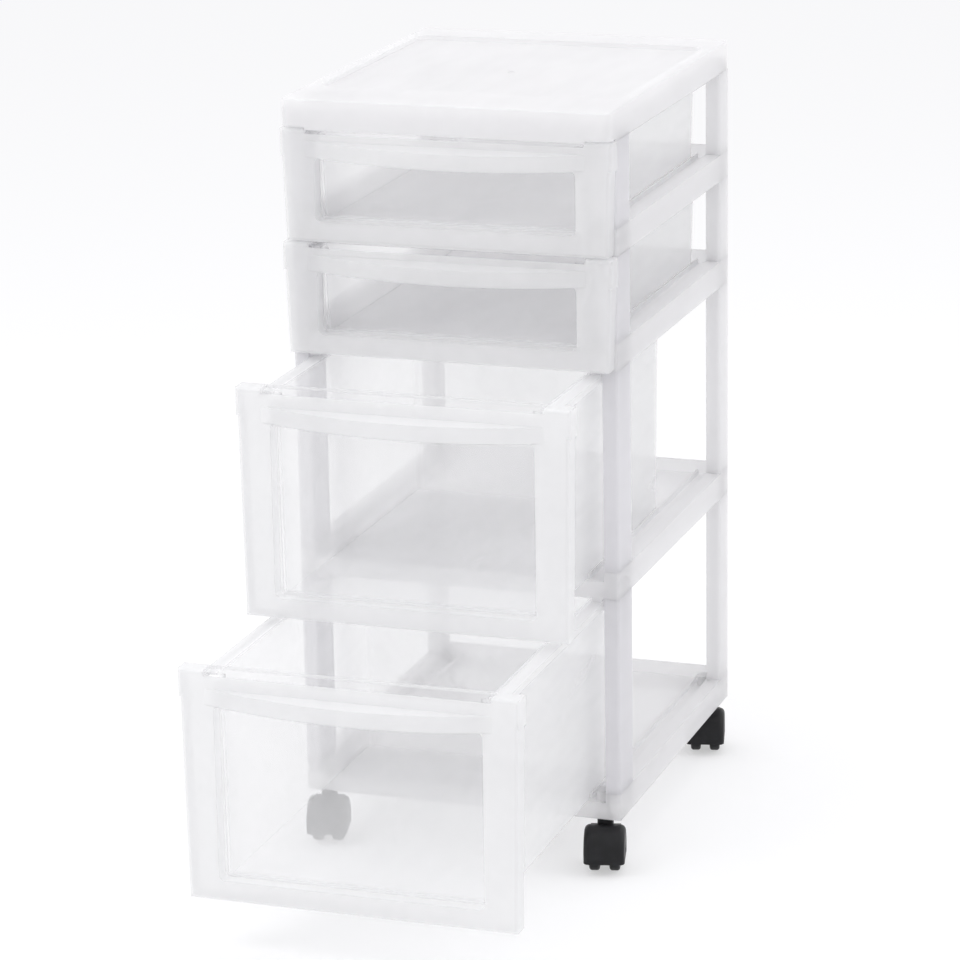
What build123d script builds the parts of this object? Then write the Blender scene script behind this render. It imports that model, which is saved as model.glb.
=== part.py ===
from build123d import *
from math import cos, radians, sin, sqrt
import os

# A free-standing drawer tower on four twin-wheel casters.
# Millimetres. +X is right seen from the front, the front looks along -Y, +Z is up.
# z = 0 is the floor, x = 0 the middle, y = 0 the middle of the tower with its drawers as they rest.

# ---------------------------------------------------------------- driving sizes
tower_width = 306.0
tower_depth = 365.0           # front of the posts to the back of the tower
top_overhang = 18.0           # the top panel and the drawer fronts stand this far before the posts
top_height = 27.4
large_pitch = 211.0           # from the underside of one shelf to the underside of the next
small_pitch = 103.3
rail_height = 25.0
back_rail_height = 29.0
panel_top_height = 16.0       # top face of a shelf panel above the shelf's underside
panel_thickness = 2.5
skin = 2.5                    # wall of the shelves, posts and top panel
post_width = 14.0
front_post_depth = 42.0
rear_post_depth = 30.0
post_corner_radius = 3.0
spigot_length = 10.0
spigot_play = 0.2
socket_floor_gap = 0.3
top_corner_radius = 7.0
top_edge_radius = 1.6
recess_depth = 4.0
recess_side_band = 12.0
recess_front_band = 68.0
recess_back_band = 45.0
recess_corner_radius = 10.0
gate_mark_radius = 3.5
gate_mark_depth = 0.4

# drawers
open_3 = 122.0                # how far drawers 3 and 4 stand open at rest
open_4 = 270.0
bin_wall = 2.2
bin_floor = 2.5
bin_side_gap = 15.5           # bin just under its rim to the posts
bin_draft = 2.0               # the bin is this much narrower on each side at its floor
bin_corner_radius = 8.0
bin_rear_gap = 11.5           # from the bin's rear wall to the back of the tower
slide_gap = 0.3               # bin floor above the shelf panel
rim_drop = 5.5                # rim top under the shelf above
rim_side_gap = 2.0            # rim edge to the posts
rim_thickness = 2.2
rim_skirt = 6.0
rim_rear_reach = 6.0
front_wall = 2.4
front_gap = 1.6               # between the ends of two closed drawer fronts
front_rise = 2.2              # bottom edge of a drawer front above its shelf's underside
front_taper = 2.5             # a front is this much narrower on each side at its bottom
front_side_inset = 0.5
cap_reach = 1.3               # the cap along the top of a front stands out this far at each side
cap_height = 25.5
front_back_gap = 0.4          # closed front to the posts
front_edge_radius = 3.0
window_depth = 13.0           # window behind the front's face
window_side_band = 31.5       # side of the window to the side of the tower
window_rise = 21.0            # bottom of the window above the shelf's underside
window_corner_radius = 6.0
notch_side_band = 23.0        # raised ends of a front's top edge
notch_depth = 4.0
notch_fall = 5.6              # the web behind the notched edge falls this much towards the bin
lip_side_band = 23.0
lip_bow = 9.0
lip_height = 14.5             # bowed face of the lip
lip_sag = 4.5                 # the lip hangs this much lower in the middle than at its ends
small_lip_drop = 6.3          # ends of the lip's crest under the notched edge
large_lip_drop = 12.0
stop_tab_inset = 52.0         # stop tab before the rear edge of the rim
stop_tab_length = 8.0
stop_tab_width = 9.0
stop_tab_height = 3.8
stop_bar_thickness = 6.0
stop_bar_drop = 3.5
stop_bar_root = 8.0
stop_gap = 0.3
guide_play = 1.0
guide_thickness = 2.0
guide_height = 5.0
guide_end_gap = 6.0

# casters
caster_height = 48.0          # floor to the underside of the base tray
caster_inset_x = 18.0
caster_inset_front = 11.5
caster_inset_rear = 18.0
caster_trail = 12.0
swivel_at_rest = 14.0         # degrees that each caster is turned as it stands
wheel_radius = 19.0
wheel_width = 9.5
wheel_edge_radius = 2.5
wheel_dish = 1.2
wheel_dish_radius = 12.0
hub_radius = 6.0
hub_step = 0.3                # wheel faces to the hood's web and walls
web_half = 4.2
hood_wall = 4.5
hood_cover = 2.5
hood_clearance = 1.5
hood_lift = 12.0              # hood's lower edge above the floor
hood_edge_radius = 5.0
neck_radius = 7.5
neck_gap = 0.3
neck_root = 12.0              # how far the neck reaches down into the hood
stem_radius = 4.0
stem_play = 0.08
stem_above = 22.0             # stem inside the base tray
stem_below = 9.0              # stem inside the hood's neck
boss_radius = 8.5
axle_radius = 2.5
axle_play = 0.05
axle_end_inset = 0.6

# ---------------------------------------------------------------- worked out from them
half_width = tower_width / 2
inner_half = half_width - post_width
bin_half_width = inner_half - bin_side_gap
window_half = half_width - window_side_band
notch_half = half_width - notch_side_band
lip_half_width = half_width - lip_side_band
lip_radius = (lip_half_width ** 2 + lip_bow ** 2) / (2 * lip_bow)
lip_hollow_bow = lip_bow - bin_wall
lip_hollow_half = sqrt((lip_radius - bin_wall) ** 2 - (lip_radius - lip_bow) ** 2)
front_reach = top_overhang + lip_bow + open_4
y_back = (tower_depth + front_reach) / 2
y_post = y_back - tower_depth
y_face = y_post - top_overhang
z_base = caster_height
z_lower = z_base + large_pitch
z_middle = z_lower + large_pitch
z_upper = z_middle + small_pitch
z_top_under = z_upper + small_pitch
z_top = z_top_under + top_height
rim_half = inner_half - rim_side_gap
y_bin_rear = y_back - bin_rear_gap
y_window = y_face + window_depth
y_stop_bar = y_post + stop_bar_thickness
y_stop_tab = y_bin_rear + rim_rear_reach - stop_tab_inset
stop_x = rim_half - stop_tab_width
guide_x = bin_half_width - bin_draft + guide_play
travel = y_stop_tab - y_stop_bar - stop_gap

post_rows = [("front", y_post, front_post_depth), ("rear", y_back - rear_post_depth, rear_post_depth)]
sides = [("left", -1), ("right", 1)]

os.makedirs("parts", exist_ok=True)


def keep(piece, name):
    """Label a finished piece and write it as its own STEP file."""
    piece.part.label = name
    export_step(piece.part, "parts/" + name + ".step")


def block(x0, x1, y0, y1, z0, z1, mode=Mode.ADD, base=Plane.XY):
    """A plain block between two corners of base, for use inside a part's own context."""
    low, high = min(x0, x1), max(x0, x1)
    with BuildSketch(base.offset(z0)) as outline:
        with Locations(((low + high) / 2, (y0 + y1) / 2)):
            Rectangle(high - low, y1 - y0)
    extrude(outline.sketch, amount=z1 - z0, mode=mode)


def cut(x0, x1, y0, y1, z0, z1, base=Plane.XY):
    block(x0, x1, y0, y1, z0, z1, mode=Mode.SUBTRACT, base=base)


def disc(plane, radius, length, mode=Mode.ADD):
    """A round piece that starts on plane and runs along its normal."""
    with BuildSketch(plane) as outline:
        Circle(radius)
    extrude(outline.sketch, amount=length, mode=mode)


def cut_sockets(z_mouth, upward):
    """Pockets for the four posts' spigots; they open at z_mouth."""
    depth = spigot_length + socket_floor_gap
    z0 = z_mouth if upward else z_mouth - depth
    for _, y_row, row_depth in post_rows:
        for _, side in sides:
            x0 = side * (inner_half + skin)
            x1 = side * (half_width - skin)
            cut(x0, x1, y_row + skin, y_row + row_depth - skin, z0, z0 + depth)


def add_stop_bars(z_under):
    """Two tongues under the front of a shelf, which catch the drawer's stop tabs."""
    for _, side in sides:
        block(side * stop_x, side * rim_half, y_post, y_stop_bar, z_under - stop_bar_drop, z_under + stop_bar_root)


# ---------------------------------------------------------------- shelves and base tray
def make_shelf(name, z, stops, caster_bosses):
    with BuildPart() as shelf:
        block(-half_width, half_width, y_post, y_back, z, z + rail_height)
        upright = shelf.edges().filter_by(Axis.Z)
        fillet(upright, post_corner_radius)
        # upper tray that the drawer slides in, open to the front
        cut(-inner_half, inner_half, y_post, y_back - skin, z + panel_top_height, z + rail_height)
        # hollow underside of the panel
        z_panel = z + panel_top_height - panel_thickness
        cut(-inner_half, inner_half, y_post + skin, y_back - skin, z, z_panel)
        # hollow side rails between the corner blocks
        y_rail0 = y_post + front_post_depth
        y_rail1 = y_back - rear_post_depth
        for _, side in sides:
            x0 = side * (inner_half + skin)
            x1 = side * (half_width - skin)
            cut(x0, x1, y_rail0, y_rail1, z, z + rail_height - skin)
        # back rail stands above the side rails, between the rear posts
        block(-inner_half, inner_half, y_back - skin, y_back, z, z + back_rail_height)
        # guide ribs beside the bin
        for _, side in sides:
            x0 = side * guide_x
            x1 = side * (guide_x + guide_thickness)
            z_guide = z + panel_top_height
            block(x0, x1, y_post + guide_end_gap, y_back - guide_end_gap, z_guide, z_guide + guide_height)
        if stops:
            add_stop_bars(z)
        if caster_bosses:
            for x, y in caster_points:
                disc(Plane(origin=(x, y, z)), boss_radius, rail_height)
                disc(Plane(origin=(x, y, z)), stem_radius + stem_play, stem_above, mode=Mode.SUBTRACT)
        else:
            cut_sockets(z, upward=True)
        cut_sockets(z + rail_height, upward=False)
        with BuildSketch(Plane.XY.offset(z + panel_top_height)):
            with Locations((0, (y_post + y_back) / 2)):
                Circle(gate_mark_radius)
        extrude(amount=-gate_mark_depth, mode=Mode.SUBTRACT)
    keep(shelf, name)


caster_x = half_width - caster_inset_x
caster_rows = [("front", y_post + caster_inset_front), ("rear", y_back - caster_inset_rear)]
caster_points = [(side * caster_x, y_row) for _, y_row in caster_rows for _, side in sides]

make_shelf("base_tray", z_base, stops=False, caster_bosses=True)
make_shelf("shelf_lower", z_lower, stops=True, caster_bosses=False)
make_shelf("shelf_middle", z_middle, stops=True, caster_bosses=False)
make_shelf("shelf_upper", z_upper, stops=True, caster_bosses=False)


# ---------------------------------------------------------------- top panel
with BuildPart() as top_panel:
    block(-half_width, half_width, y_face, y_back, z_top_under, z_top)
    fillet(top_panel.edges().filter_by(Axis.Z), top_corner_radius)
    fillet(top_panel.faces().sort_by(Axis.Z)[-1].edges(), top_edge_radius)
    # shallow recess in the top
    recess_width = tower_width - 2 * recess_side_band
    recess_y0 = y_face + recess_front_band
    recess_y1 = y_back - recess_back_band
    with BuildSketch(Plane.XY.offset(z_top)):
        with Locations((0, (recess_y0 + recess_y1) / 2)):
            RectangleRounded(recess_width, recess_y1 - recess_y0, recess_corner_radius)
    extrude(amount=-recess_depth, mode=Mode.SUBTRACT)
    with BuildSketch(Plane.XY.offset(z_top - recess_depth)):
        with Locations((0, (y_face + y_back) / 2)):
            Circle(gate_mark_radius)
    extrude(amount=-gate_mark_depth, mode=Mode.SUBTRACT)
    # hollow underside, in front of the posts and between them
    z_plate = z_top - recess_depth - skin
    cut(-half_width + skin, half_width - skin, y_face + skin, y_post, z_top_under, z_plate)
    cut(-inner_half, inner_half, y_post + skin, y_back - skin, z_top_under, z_plate)
    for _, side in sides:
        x_in = side * (inner_half + skin)
        x_out = side * (half_width - skin)
        cut(x_in, x_out, y_post + front_post_depth, y_back - rear_post_depth, z_top_under, z_plate)
        # room for the raised ends of the uppermost drawer front
        x_end = side * (half_width + cap_reach)
        cut(side * notch_half, x_end, y_face, y_post - front_back_gap, z_top_under, z_top_under + front_rise)
    add_stop_bars(z_top_under)
    cut_sockets(z_top_under, upward=True)
keep(top_panel, "top_panel")


# ---------------------------------------------------------------- corner posts
def make_post(name, side, y_row, row_depth, z0, z1, foot):
    """A channel open to the inside of the tower, with a spigot at each end."""
    x_in = side * inner_half
    x_out = side * half_width
    with BuildPart() as post:
        block(x_in, x_out, y_row, y_row + row_depth, z0, z1)
        outer = post.edges().filter_by(Axis.Z).sort_by(Axis.X)
        fillet(outer[-2:] if side > 0 else outer[:2], post_corner_radius)
        y_mid = y_row + row_depth / 2
        x_floor = side * (half_width - skin)
        cut(x_in, x_floor, y_row + skin, y_mid - skin / 2, z0 + skin, z1 - skin)
        cut(x_in, x_floor, y_mid + skin / 2, y_row + row_depth - skin, z0 + skin, z1 - skin)
        inset = skin + spigot_play
        s0 = side * (inner_half + inset)
        s1 = side * (half_width - inset)
        block(s0, s1, y_row + inset, y_row + row_depth - inset, z1, z1 + spigot_length)
        block(s0, s1, y_row + inset, y_row + row_depth - inset, z0 - foot, z0)
    keep(post, name)


tiers = [
    (4, z_base, z_lower),
    (3, z_lower, z_middle),
    (2, z_middle, z_upper),
    (1, z_upper, z_top_under),
]
for tier, z_shelf, z_above in tiers:
    for row, y_row, row_depth in post_rows:
        for side_name, side in sides:
            post_name = "post_%d_%s_%s" % (tier, row, side_name)
            make_post(post_name, side, y_row, row_depth, z_shelf + rail_height, z_above, spigot_length)


# ---------------------------------------------------------------- drawers
def lip_prism(front, half, bow, z_foot, z_crest):
    """A bar bowed to the front, whose foot and crest hang lower towards its middle."""
    with BuildPart() as prism:
        with BuildSketch(Plane(origin=(0, front, z_foot - lip_sag))) as plan:
            with BuildLine() as edge:
                ThreePointArc((-half, 0), (0, -bow), (half, 0))
                Polyline((half, 0), (half, front_wall), (-half, front_wall), (-half, 0))
            make_face(edge.edges())
        extrude(plan.sketch, amount=z_crest - z_foot + lip_sag)
        with BuildSketch(Plane(origin=(-half, front, 0), x_dir=(0, 1, 0), z_dir=(1, 0, 0))) as profile:
            with BuildLine() as edge:
                Polyline(
                    (front_wall, z_foot),
                    (0, z_foot),
                    (-lip_bow, z_foot - lip_sag),
                    (-lip_bow, z_crest - lip_sag),
                    (0, z_crest),
                    (front_wall, z_crest),
                    close=True,
                )
            make_face(edge.edges())
        extrude(profile.sketch, amount=2 * half, mode=Mode.INTERSECT)
    return prism.part


def make_drawer(name, z_shelf, pitch, opening, lip_drop):
    front = y_face - opening
    window = y_window - opening
    returns_end = y_post - front_back_gap - opening
    rear = y_bin_rear - opening
    z_front0 = z_shelf + front_rise
    z_front1 = z_shelf + pitch + front_rise - front_gap
    z_floor = z_shelf + panel_top_height + slide_gap
    z_rim = z_shelf + pitch - rim_drop
    z_cap = z_front1 - cap_height
    z_edge = z_front1 - notch_depth
    z_web = z_edge - notch_fall
    z_crest = z_edge - lip_drop
    z_foot = z_crest - lip_height
    z_finger = z_foot - window_corner_radius
    front_half = half_width - front_side_inset
    cap_half = half_width + cap_reach
    bottom_half = front_half - front_taper
    rim_rear = rear + rim_rear_reach
    lip = lip_prism(front, lip_half_width, lip_bow, z_foot, z_crest)
    lip_hollow = lip_prism(front, lip_hollow_half, lip_hollow_bow, z_finger, z_crest - front_wall)
    face_plane = Plane(origin=(0, front, 0), x_dir=(1, 0, 0), z_dir=(0, -1, 0))

    def front_outline(plane, inset):
        """The front's outline: a cap along the top and a flange that tapers down."""
        with BuildSketch(plane) as outline:
            with BuildLine() as edge:
                Polyline(
                    (-cap_half + inset, z_front1 - inset),
                    (-cap_half + inset, z_cap + inset),
                    (-front_half + inset, z_cap + inset),
                    (-bottom_half + inset, z_front0 + inset),
                    (bottom_half - inset, z_front0 + inset),
                    (front_half - inset, z_cap + inset),
                    (cap_half - inset, z_cap + inset),
                    (cap_half - inset, z_front1 - inset),
                    close=True,
                )
            make_face(edge.edges())
        return outline.sketch

    def bin_outline(z, half, y1, inset):
        """A level section of the bin."""
        y0 = window + inset
        with BuildSketch(Plane.XY.offset(z)) as outline:
            with Locations((0, (y0 + y1 - inset) / 2)):
                RectangleRounded(2 * (half - inset), y1 - inset - y0, bin_corner_radius - inset)
        return outline.sketch

    with BuildPart() as drawer:
        # front: a shallow pan, open to the rear
        extrude(front_outline(face_plane, 0), amount=front - returns_end)
        fillet(drawer.faces().sort_by(Axis.Y)[0].edges(), front_edge_radius)
        hollow = front_outline(face_plane.offset(-front_wall), front_wall)
        extrude(hollow, amount=front + front_wall - returns_end, mode=Mode.SUBTRACT)
        add(lip)
        # walls round the window, back to the bin
        ring_half = window_half + front_wall
        block(-ring_half, ring_half, front + front_wall, window + bin_wall, z_floor, z_front1)
        # bin: a tapered shell with a rim that turns down at its edge
        outer = [
            bin_outline(z_floor, bin_half_width - bin_draft, rear - bin_draft, 0),
            bin_outline(z_rim, bin_half_width, rear, 0),
        ]
        loft(outer)
        block(-rim_half, rim_half, window, rim_rear, z_rim - rim_thickness, z_rim)
        for _, side in sides:
            x_skirt = side * (rim_half - rim_thickness)
            block(x_skirt, side * rim_half, window, rim_rear, z_rim - rim_skirt, z_rim)
            y_tab = y_stop_tab - opening
            block(side * stop_x, side * rim_half, y_tab, y_tab + stop_tab_length, z_rim, z_rim + stop_tab_height)
        block(-rim_half, rim_half, rim_rear - rim_thickness, rim_rear, z_rim - rim_skirt, z_rim)
        cavity = [
            bin_outline(z_floor + bin_floor, bin_half_width - bin_draft, rear - bin_draft, bin_wall),
            bin_outline(z_rim, bin_half_width, rear, bin_wall),
        ]
        loft(cavity, mode=Mode.SUBTRACT)
        # window recess, and the finger space behind the lip
        with BuildSketch(face_plane) as recess:
            z_sill = z_shelf + window_rise
            with Locations((0, (z_sill + z_foot) / 2)):
                RectangleRounded(2 * window_half, z_foot - z_sill, window_corner_radius)
        extrude(recess.sketch, amount=-window_depth, mode=Mode.SUBTRACT)
        cut(-window_half, window_half, front + front_wall, window, z_finger, z_web - front_wall)
        add(lip_hollow, mode=Mode.SUBTRACT)
        # notch in the front's top edge, and the web that falls from it to the bin
        with BuildSketch(Plane(origin=(-notch_half, front, 0), x_dir=(0, 1, 0), z_dir=(1, 0, 0))) as notch:
            with BuildLine() as edge:
                Polyline(
                    (-lip_bow, z_edge),
                    (0, z_edge),
                    (window_depth, z_web),
                    (window_depth + bin_wall, z_web),
                    (window_depth + bin_wall, z_front1 + notch_depth),
                    (-lip_bow, z_front1 + notch_depth),
                    close=True,
                )
            make_face(edge.edges())
        extrude(notch.sketch, amount=2 * notch_half, mode=Mode.SUBTRACT)
    keep(drawer, name)


make_drawer("drawer_4", z_base, large_pitch, open_4, large_lip_drop)
make_drawer("drawer_3", z_lower, large_pitch, open_3, large_lip_drop)
make_drawer("drawer_2", z_middle, small_pitch, 0, small_lip_drop)
make_drawer("drawer_1", z_upper, small_pitch, 0, small_lip_drop)


# ---------------------------------------------------------------- casters
def make_caster(prefix, x, y):
    """A twin-wheel caster: hood with its web and neck, stem, axle and two wheels."""
    turn = radians(swivel_at_rest)
    base = Plane(origin=(x, y, 0), x_dir=(cos(turn), sin(turn), 0), z_dir=(0, 0, 1))
    z_axle = wheel_radius
    hood_half = web_half + 2 * hub_step + wheel_width + hood_wall
    well_radius = wheel_radius + hood_clearance
    hood_radius = well_radius + hood_cover
    hood_top = z_axle + hood_radius
    z_neck_top = caster_height - neck_gap
    z_stem0 = z_neck_top - stem_below
    z_stem1 = caster_height + stem_above

    def across(x0):
        """A plane square to the axle, x0 from the caster's middle."""
        return Plane(
            origin=base.from_local_coords((x0, -caster_trail, z_axle)),
            x_dir=base.y_dir,
            z_dir=base.x_dir,
        )

    with BuildPart() as hood:
        disc(across(-hood_half), hood_radius, 2 * hood_half)
        fillet(hood.edges().filter_by(GeomType.CIRCLE), hood_edge_radius)
        fairing_half = hood_half - hood_edge_radius
        block(-fairing_half, fairing_half, -caster_trail, neck_radius, hood_lift, hood_top - hood_edge_radius, base=base)
        disc(base.offset(z_neck_top - neck_root), neck_radius, neck_root)
        reach = 2 * hood_radius
        cut(-reach, reach, -caster_trail - reach, reach, z_axle - reach, hood_lift, base=base)
        # a well for each wheel, either side of the web
        well_width = wheel_width + 2 * hub_step
        disc(across(web_half), well_radius, well_width, mode=Mode.SUBTRACT)
        disc(across(-web_half - well_width), well_radius, well_width, mode=Mode.SUBTRACT)
        disc(across(-hood_half), axle_radius + axle_play, 2 * hood_half, mode=Mode.SUBTRACT)
        disc(base.offset(z_stem0), stem_radius + stem_play, stem_below, mode=Mode.SUBTRACT)
    keep(hood, prefix + "_hood")

    with BuildPart() as stem:
        disc(base.offset(z_stem0), stem_radius, z_stem1 - z_stem0)
        chamfer(stem.faces().sort_by(Axis.Z)[-1].edges(), stem_radius / 4)
    keep(stem, prefix + "_stem")

    axle_half = hood_half - axle_end_inset
    with BuildPart() as axle:
        disc(across(-axle_half), axle_radius, 2 * axle_half)
    keep(axle, prefix + "_axle")

    for side_name, side in sides:
        x_mid = side * (web_half + hub_step + wheel_width / 2)
        x0 = x_mid - wheel_width / 2
        with BuildPart() as wheel:
            disc(across(x0), wheel_radius, wheel_width)
            fillet(wheel.edges().filter_by(GeomType.CIRCLE), wheel_edge_radius)
            for x_dish in (x0, x0 + wheel_width - wheel_dish):
                with BuildSketch(across(x_dish)) as dish:
                    Circle(wheel_dish_radius)
                    Circle(hub_radius, mode=Mode.SUBTRACT)
                extrude(dish.sketch, amount=wheel_dish, mode=Mode.SUBTRACT)
            disc(across(x0), axle_radius + axle_play, wheel_width, mode=Mode.SUBTRACT)
        keep(wheel, prefix + "_wheel_" + side_name)


for row, y_row in caster_rows:
    for side_name, side in sides:
        make_caster("caster_%s_%s" % (row, side_name), side * caster_x, y_row)
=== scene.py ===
import bpy
from math import cos, radians, sin
from mathutils import Matrix, Vector


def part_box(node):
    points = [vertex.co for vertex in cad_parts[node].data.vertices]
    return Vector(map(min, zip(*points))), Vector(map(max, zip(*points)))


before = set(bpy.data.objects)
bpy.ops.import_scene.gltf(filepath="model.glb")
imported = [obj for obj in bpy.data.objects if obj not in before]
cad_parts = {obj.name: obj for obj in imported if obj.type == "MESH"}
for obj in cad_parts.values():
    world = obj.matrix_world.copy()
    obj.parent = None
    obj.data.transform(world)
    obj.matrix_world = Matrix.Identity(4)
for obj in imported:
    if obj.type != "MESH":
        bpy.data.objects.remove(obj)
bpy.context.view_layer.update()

# ---------------------------------------------------------------- where things are
SHALLOW_DRAWERS = ["drawer_1", "drawer_2"]
DEEP_DRAWERS = ["drawer_3", "drawer_4"]
FRAME_PREFIXES = ("post_", "shelf_", "top_panel", "base_tray")
FRAME_NODES = [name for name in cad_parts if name.startswith(FRAME_PREFIXES)]
FRONT_POSTS = [name for name in FRAME_NODES if name.startswith("post_") and "_front_" in name]

# A drawer's polished window, in metres from the box of its node.
BIN_HALF = 0.1242             # outside of the bin's walls
WINDOW_HALF = 0.1215
WINDOW_SILL = 0.0188          # above the lowest edge
WINDOW_WALL = 0.022           # its outer face behind the foremost point of the lip
WALL = 0.0022
WINDOW_HEAD = {"drawer_1": 0.0248, "drawer_2": 0.0248, "drawer_3": 0.0305, "drawer_4": 0.0305}

# ---------------------------------------------------------------- photograph's camera
CAMERA_YAW = 19.19
CAMERA_PITCH = 16.06
CAMERA_ROLL = -0.98
CAMERA_PLACE = (1.16626, -3.31869, 1.36232)
FOCAL_PIXELS = 4026.24
FRAME_PIXELS = 960
SENSOR_MM = 36.0
FLOOR_LIFT = 0.48             # added to the floor where the camera sees it
FLOOR_SIZE = 14.0
SOFT_LIGHT = 0.90             # strength of the world where it lights the tower

# Clear and milky walls: share of light stopped at one face, and share of that which glows through.
FRAME_OPACITY, FRAME_GLOW = 0.71, 0.48
# The front posts take a denser, less glowing copy of the frame plastic: painted shade.
FRONT_POST_OPACITY, FRONT_POST_GLOW = 0.74, 0.44
SHALLOW_OPACITY, SHALLOW_GLOW = 0.51, 0.55
DEEP_OPACITY, DEEP_GLOW = 0.56, 0.45
BIN_WALL_OPACITY = (0.30, 0.36)
WINDOW_OPACITY = (0.08, 0.12)
PLASTIC_IOR = 1.49
# A look through the tower meets two faces for every wall, so more of them than usual are let through.
SEE_THROUGH_FACES = 32


# ---------------------------------------------------------------- node helpers
class Nodes:
    """A material's node tree, with short calls for the nodes used here."""

    def __init__(self, name):
        self.material = bpy.data.materials.new(name)
        self.material.use_nodes = True
        self.tree = self.material.node_tree
        self.tree.nodes.clear()
        self.output = self.tree.nodes.new("ShaderNodeOutputMaterial")
        self.object_point = self.add("ShaderNodeTexCoord").outputs["Object"]

    def add(self, kind, **settings):
        node = self.tree.nodes.new(kind)
        for key, value in settings.items():
            setattr(node, key, value)
        return node

    def link(self, source, target):
        self.tree.links.new(source, target)

    def fill(self, socket, value):
        if isinstance(value, bpy.types.NodeSocket):
            self.link(value, socket)
        else:
            socket.default_value = value

    def math(self, operation, a, b=0.0, clamp=False):
        node = self.add("ShaderNodeMath", operation=operation, use_clamp=clamp)
        self.fill(node.inputs[0], a)
        self.fill(node.inputs[1], b)
        return node.outputs[0]

    def noise(self, scale, detail=2.0, roughness=0.5, stretch=(1, 1, 1)):
        mapping = self.add("ShaderNodeMapping")
        mapping.inputs["Scale"].default_value = stretch
        self.link(self.object_point, mapping.inputs["Vector"])
        node = self.add("ShaderNodeTexNoise")
        node.inputs["Scale"].default_value = scale
        node.inputs["Detail"].default_value = detail
        node.inputs["Roughness"].default_value = roughness
        self.link(mapping.outputs[0], node.inputs["Vector"])
        return node.outputs["Fac"]

    def between(self, value, low, high, to_low, to_high):
        node = self.add("ShaderNodeMapRange", interpolation_type="SMOOTHSTEP")
        self.fill(node.inputs["Value"], value)
        for socket, number in zip(("From Min", "From Max", "To Min", "To Max"), (low, high, to_low, to_high)):
            self.fill(node.inputs[socket], number)
        return node.outputs["Result"]

    def mix(self, factor, a, b):
        node = self.add("ShaderNodeMix", data_type="FLOAT")
        for place, value in ((0, factor), (2, a), (3, b)):
            self.fill(node.inputs[place], value)
        return node.outputs[0]

    def ramp(self, value, stops):
        node = self.add("ShaderNodeValToRGB")
        self.link(value, node.inputs["Fac"])
        elements = node.color_ramp.elements
        while len(elements) < len(stops):
            elements.new(0.5)
        for element, (place, color) in zip(elements, stops):
            element.position = place
            element.color = color
        return node.outputs["Color"]

    def bump(self, height, strength, distance, normal=None):
        node = self.add("ShaderNodeBump")
        node.inputs["Strength"].default_value = strength
        node.inputs["Distance"].default_value = distance
        self.link(height, node.inputs["Height"])
        if normal is not None:
            self.link(normal, node.inputs["Normal"])
        return node.outputs["Normal"]

    def bevel(self, radius):
        node = self.add("ShaderNodeBevel", samples=4)
        node.inputs["Radius"].default_value = radius
        return node.outputs["Normal"]

    def principled(self, **sockets):
        node = self.add("ShaderNodeBsdfPrincipled")
        for name, value in sockets.items():
            self.fill(node.inputs[name.replace("_", " ")], value)
        return node

    def finish(self, shader):
        self.link(shader, self.output.inputs["Surface"])
        return self.material


def box_mask(nodes, low, high, soft):
    """1 inside a box given in metres, falling to 0 over soft at its sides."""
    separate = nodes.add("ShaderNodeSeparateXYZ")
    nodes.link(nodes.object_point, separate.inputs[0])
    sides = []
    for axis in range(3):
        value = separate.outputs[axis]
        sides.append(nodes.between(value, low[axis] - soft[axis], low[axis] + soft[axis], 0.0, 1.0))
        sides.append(nodes.between(value, high[axis] - soft[axis], high[axis] + soft[axis], 1.0, 0.0))
    mask = sides[0]
    for side in sides[1:]:
        mask = nodes.math("MULTIPLY", mask, side)
    return mask


def drawer_masks(nodes, name):
    """Masks of a drawer's bin walls, and of its window: the wall between sill and lip."""
    low, high = (Vector(corner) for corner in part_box(name))
    margin = 0.003
    y_wall = low.y + WINDOW_WALL
    walls_low = (-BIN_HALF, y_wall, low.z)
    walls_high = (BIN_HALF, high.y + margin, high.z)
    walls = box_mask(nodes, walls_low, walls_high, (0.0004, 0.0006, margin))
    corner_low = (-WINDOW_HALF + margin, y_wall - 0.001, low.z + WINDOW_SILL + margin)
    corner_high = (WINDOW_HALF - margin, y_wall + WALL + 0.001, high.z - WINDOW_HEAD[name] - margin)
    window = box_mask(nodes, corner_low, corner_high, (margin, 0.0005, margin))
    return walls, window


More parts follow.
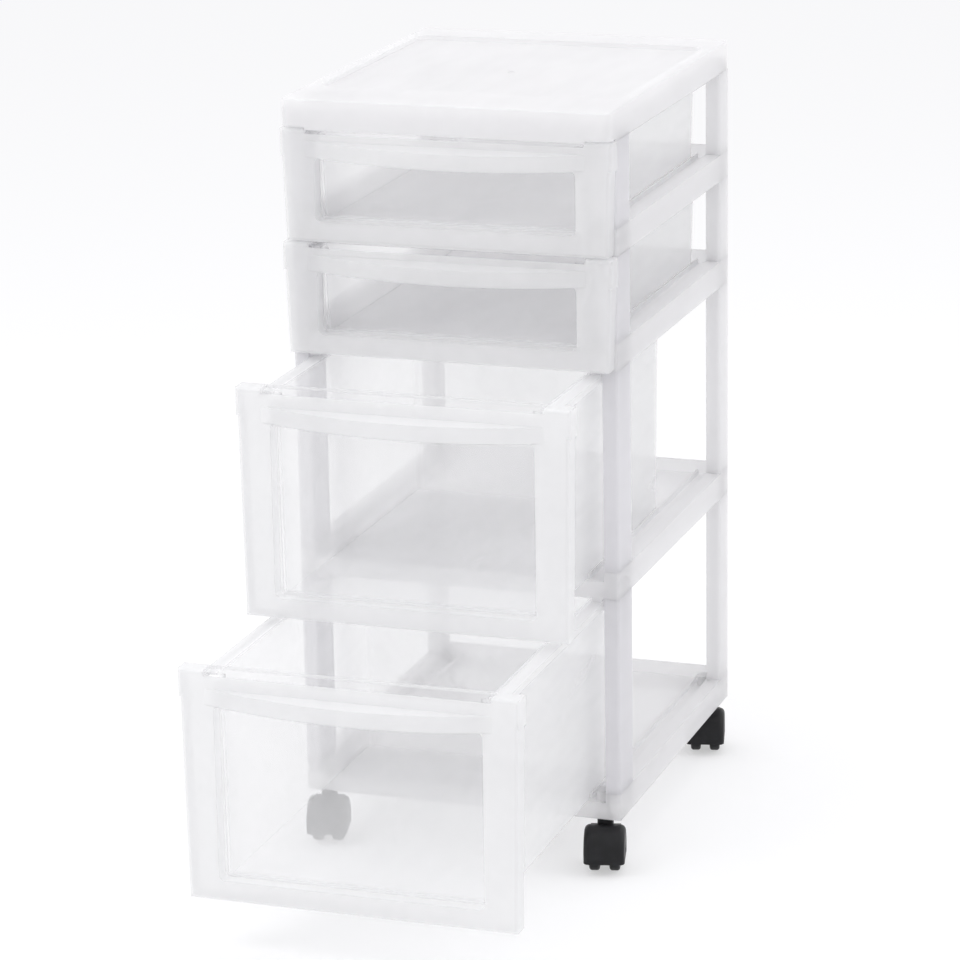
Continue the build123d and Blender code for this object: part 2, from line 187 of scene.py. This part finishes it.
# ---------------------------------------------------------------- materials
def moulded_plastic(name, color, opacity, glow, drawer=None):
    """Milky polypropylene: fine grain, flow marks, light that passes through.

    A drawer's bin is thinner and clearer than its front, and its window is polished.
    """
    nodes = Nodes(name)
    cloud = nodes.noise(7.0, 3.0)
    flow = nodes.noise(24.0, 2.0, stretch=(1.0, 0.25, 1.0))
    grain = nodes.noise(1300.0, 2.0)
    wave = nodes.noise(16.0, 1.0)
    tint = nodes.ramp(cloud, [(0.3, (*[c * 0.985 for c in color], 1)), (0.7, (*color, 1))])
    alpha = nodes.between(flow, 0.25, 0.75, opacity - 0.025, opacity + 0.025)
    rough = nodes.between(cloud, 0.3, 0.7, 0.36, 0.46)
    grain_height = grain
    if drawer:
        walls, window = drawer_masks(nodes, drawer)
        alpha = nodes.mix(walls, alpha, nodes.between(flow, 0.25, 0.75, *BIN_WALL_OPACITY))
        alpha = nodes.mix(window, alpha, nodes.between(flow, 0.25, 0.75, *WINDOW_OPACITY))
        rough = nodes.mix(walls, rough, 0.26)
        rough = nodes.mix(window, rough, 0.10)
        grain_height = nodes.math("MULTIPLY", grain, nodes.mix(window, 1.0, 0.04))
    normal = nodes.bump(wave, 0.06, 0.004, nodes.bevel(0.0014))
    normal = nodes.bump(grain_height, 0.10, 0.0003, normal)
    surface = nodes.principled(Base_Color=tint, Roughness=rough, IOR=PLASTIC_IOR, Alpha=alpha, Normal=normal)
    glow_through = nodes.add("ShaderNodeBsdfTranslucent")
    nodes.link(tint, glow_through.inputs["Color"])
    see_through = nodes.add("ShaderNodeBsdfTransparent")
    inner = nodes.add("ShaderNodeMixShader")
    nodes.link(alpha, inner.inputs["Fac"])
    nodes.link(see_through.outputs[0], inner.inputs[1])
    nodes.link(glow_through.outputs[0], inner.inputs[2])
    mix = nodes.add("ShaderNodeMixShader")
    mix.inputs["Fac"].default_value = glow
    nodes.link(surface.outputs[0], mix.inputs[1])
    nodes.link(inner.outputs[0], mix.inputs[2])
    return nodes.finish(mix.outputs[0])


def black_plastic(name, rough):
    nodes = Nodes(name)
    cloud = nodes.noise(60.0, 3.0)
    grain = nodes.noise(2200.0, 2.0)
    tint = nodes.ramp(cloud, [(0.3, (0.008, 0.008, 0.009, 1)), (0.7, (0.014, 0.014, 0.016, 1))])
    normal = nodes.bump(grain, 0.15, 0.0003, nodes.bevel(0.0008))
    surface = nodes.principled(
        Base_Color=tint,
        Specular_IOR_Level=0.25,
        Roughness=nodes.between(cloud, 0.3, 0.7, rough, rough + 0.12),
        Normal=normal,
    )
    return nodes.finish(surface.outputs[0])


def steel(name, color, rough):
    nodes = Nodes(name)
    streak = nodes.noise(300.0, 2.0, stretch=(1.0, 1.0, 6.0))
    tint = nodes.ramp(streak, [(0.3, (*[c * 0.85 for c in color], 1)), (0.7, (*color, 1))])
    surface = nodes.principled(
        Base_Color=tint,
        Metallic=1.0,
        Roughness=nodes.between(streak, 0.3, 0.7, rough, rough + 0.15),
        Normal=nodes.bevel(0.0005),
    )
    return nodes.finish(surface.outputs[0])


def dress(names, material):
    for name in names:
        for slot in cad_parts[name].material_slots:
            slot.material = material


dress(FRAME_NODES, moulded_plastic("frame_plastic", (0.925, 0.922, 0.93), FRAME_OPACITY, FRAME_GLOW))
# A darker copy of the frame plastic for the front posts: painted shade for the shade in their deep channels.
front_post_shaded_copy = moulded_plastic(
    "front_post_shaded_copy", (0.87, 0.865, 0.885), FRONT_POST_OPACITY, FRONT_POST_GLOW
)
dress(FRONT_POSTS, front_post_shaded_copy)
for drawer in SHALLOW_DRAWERS:
    milky = moulded_plastic(drawer + "_plastic", (0.925, 0.925, 0.93), SHALLOW_OPACITY, SHALLOW_GLOW, drawer)
    dress([drawer], milky)
for drawer in DEEP_DRAWERS:
    milky = moulded_plastic(drawer + "_plastic", (0.905, 0.905, 0.912), DEEP_OPACITY, DEEP_GLOW, drawer)
    dress([drawer], milky)
hoods = [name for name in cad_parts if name.endswith("_hood")]
wheels = [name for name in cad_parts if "_wheel_" in name]
stems = [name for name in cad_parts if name.endswith("_stem")]
axles = [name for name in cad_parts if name.endswith("_axle")]
dress(hoods, black_plastic("caster_hood_plastic", 0.38))
dress(wheels, black_plastic("caster_wheel_plastic", 0.45))
dress(stems, steel("dark_stem_steel", (0.05, 0.05, 0.055), 0.4))
dress(axles, steel("axle_steel", (0.6, 0.6, 0.62), 0.25))


# ---------------------------------------------------------------- floor, light, camera
def looked_at(nodes):
    """1 for rays from the camera, and for what gloss and clear plastic show of it."""
    path = nodes.add("ShaderNodeLightPath")
    seen = nodes.math("MAXIMUM", path.outputs["Is Camera Ray"], path.outputs["Is Glossy Ray"])
    return nodes.math("MAXIMUM", seen, path.outputs["Is Transmission Ray"])


def make_floor():
    """A pale floor that is white to the camera but keeps the object's shadow."""
    bpy.ops.mesh.primitive_plane_add(size=FLOOR_SIZE, location=(0, 0, 0))
    floor = bpy.context.object
    floor.name = "floor"
    nodes = Nodes("floor_white")
    mottle = nodes.noise(2.0)
    pale = nodes.add("ShaderNodeBsdfDiffuse")
    pale_tint = nodes.ramp(mottle, [(0.3, (0.84, 0.84, 0.84, 1)), (0.7, (0.86, 0.86, 0.86, 1))])
    nodes.link(pale_tint, pale.inputs["Color"])
    shaded = nodes.add("ShaderNodeBsdfDiffuse")
    shaded.inputs["Color"].default_value = (0.5, 0.5, 0.51, 1)
    white = nodes.add("ShaderNodeEmission")
    white.inputs["Strength"].default_value = FLOOR_LIFT
    lifted = nodes.add("ShaderNodeAddShader")
    nodes.link(shaded.outputs[0], lifted.inputs[0])
    nodes.link(white.outputs[0], lifted.inputs[1])
    mix = nodes.add("ShaderNodeMixShader")
    nodes.link(looked_at(nodes), mix.inputs["Fac"])
    nodes.link(pale.outputs[0], mix.inputs[1])
    nodes.link(lifted.outputs[0], mix.inputs[2])
    floor.data.materials.append(nodes.finish(mix.outputs[0]))


def make_area_light(name, place, target, size, power):
    data = bpy.data.lights.new(name, "AREA")
    data.shape = "SQUARE"
    data.size = size
    data.energy = power
    light = bpy.data.objects.new(name, data)
    light.location = place
    light.rotation_euler = (Vector(target) - Vector(place)).to_track_quat("-Z", "Y").to_euler()
    bpy.context.scene.collection.objects.link(light)


def make_world():
    world = bpy.data.worlds.new("studio")
    bpy.context.scene.world = world
    world.use_nodes = True
    tree = world.node_tree
    tree.nodes.clear()
    output = tree.nodes.new("ShaderNodeOutputWorld")
    soft = tree.nodes.new("ShaderNodeBackground")
    soft.inputs["Color"].default_value = (0.99, 0.99, 1.0, 1)
    soft.inputs["Strength"].default_value = SOFT_LIGHT
    seen = tree.nodes.new("ShaderNodeBackground")
    seen.inputs["Color"].default_value = (1, 1, 1, 1)
    seen.inputs["Strength"].default_value = 1.0
    path = tree.nodes.new("ShaderNodeLightPath")
    mix = tree.nodes.new("ShaderNodeMixShader")
    seen_through = tree.nodes.new("ShaderNodeMath")
    seen_through.operation = "MAXIMUM"
    tree.links.new(path.outputs["Is Glossy Ray"], seen_through.inputs[0])
    tree.links.new(path.outputs["Is Transmission Ray"], seen_through.inputs[1])
    looked_at_ray = tree.nodes.new("ShaderNodeMath")
    looked_at_ray.operation = "MAXIMUM"
    tree.links.new(path.outputs["Is Camera Ray"], looked_at_ray.inputs[0])
    tree.links.new(seen_through.outputs[0], looked_at_ray.inputs[1])
    tree.links.new(looked_at_ray.outputs[0], mix.inputs["Fac"])
    tree.links.new(soft.outputs[0], mix.inputs[1])
    tree.links.new(seen.outputs[0], mix.inputs[2])
    tree.links.new(mix.outputs[0], output.inputs["Surface"])


def make_camera():
    yaw, pitch, roll = radians(CAMERA_YAW), radians(CAMERA_PITCH), radians(CAMERA_ROLL)
    forward = Vector((-sin(yaw) * cos(pitch), cos(yaw) * cos(pitch), -sin(pitch)))
    level = Vector((cos(yaw), sin(yaw), 0))
    above = level.cross(forward)
    right = level * cos(roll) + above * sin(roll)
    up = above * cos(roll) - level * sin(roll)
    data = bpy.data.cameras.new("photo_camera")
    data.sensor_width = SENSOR_MM
    data.lens = FOCAL_PIXELS * SENSOR_MM / FRAME_PIXELS
    data.clip_end = 50.0
    camera = bpy.data.objects.new("photo_camera", data)
    turn = Matrix((right, up, -forward)).transposed()
    camera.matrix_world = Matrix.Translation(CAMERA_PLACE) @ turn.to_4x4()
    bpy.context.scene.collection.objects.link(camera)
    bpy.context.scene.camera = camera


make_floor()
make_world()
make_area_light("key", (-1.5, -1.6, 2.4), (0, -0.1, 0.4), 1.2, 22.0)
make_area_light("top", (0.1, 0.2, 2.6), (0, 0, 0.4), 1.6, 9.0)
make_area_light("side", (2.3, 0.5, 1.9), (0, 0, 0.3), 1.6, 13.0)
make_camera()

bpy.context.scene.view_settings.view_transform = "Standard"
bpy.context.scene.cycles.transparent_max_bounces = SEE_THROUGH_FACES
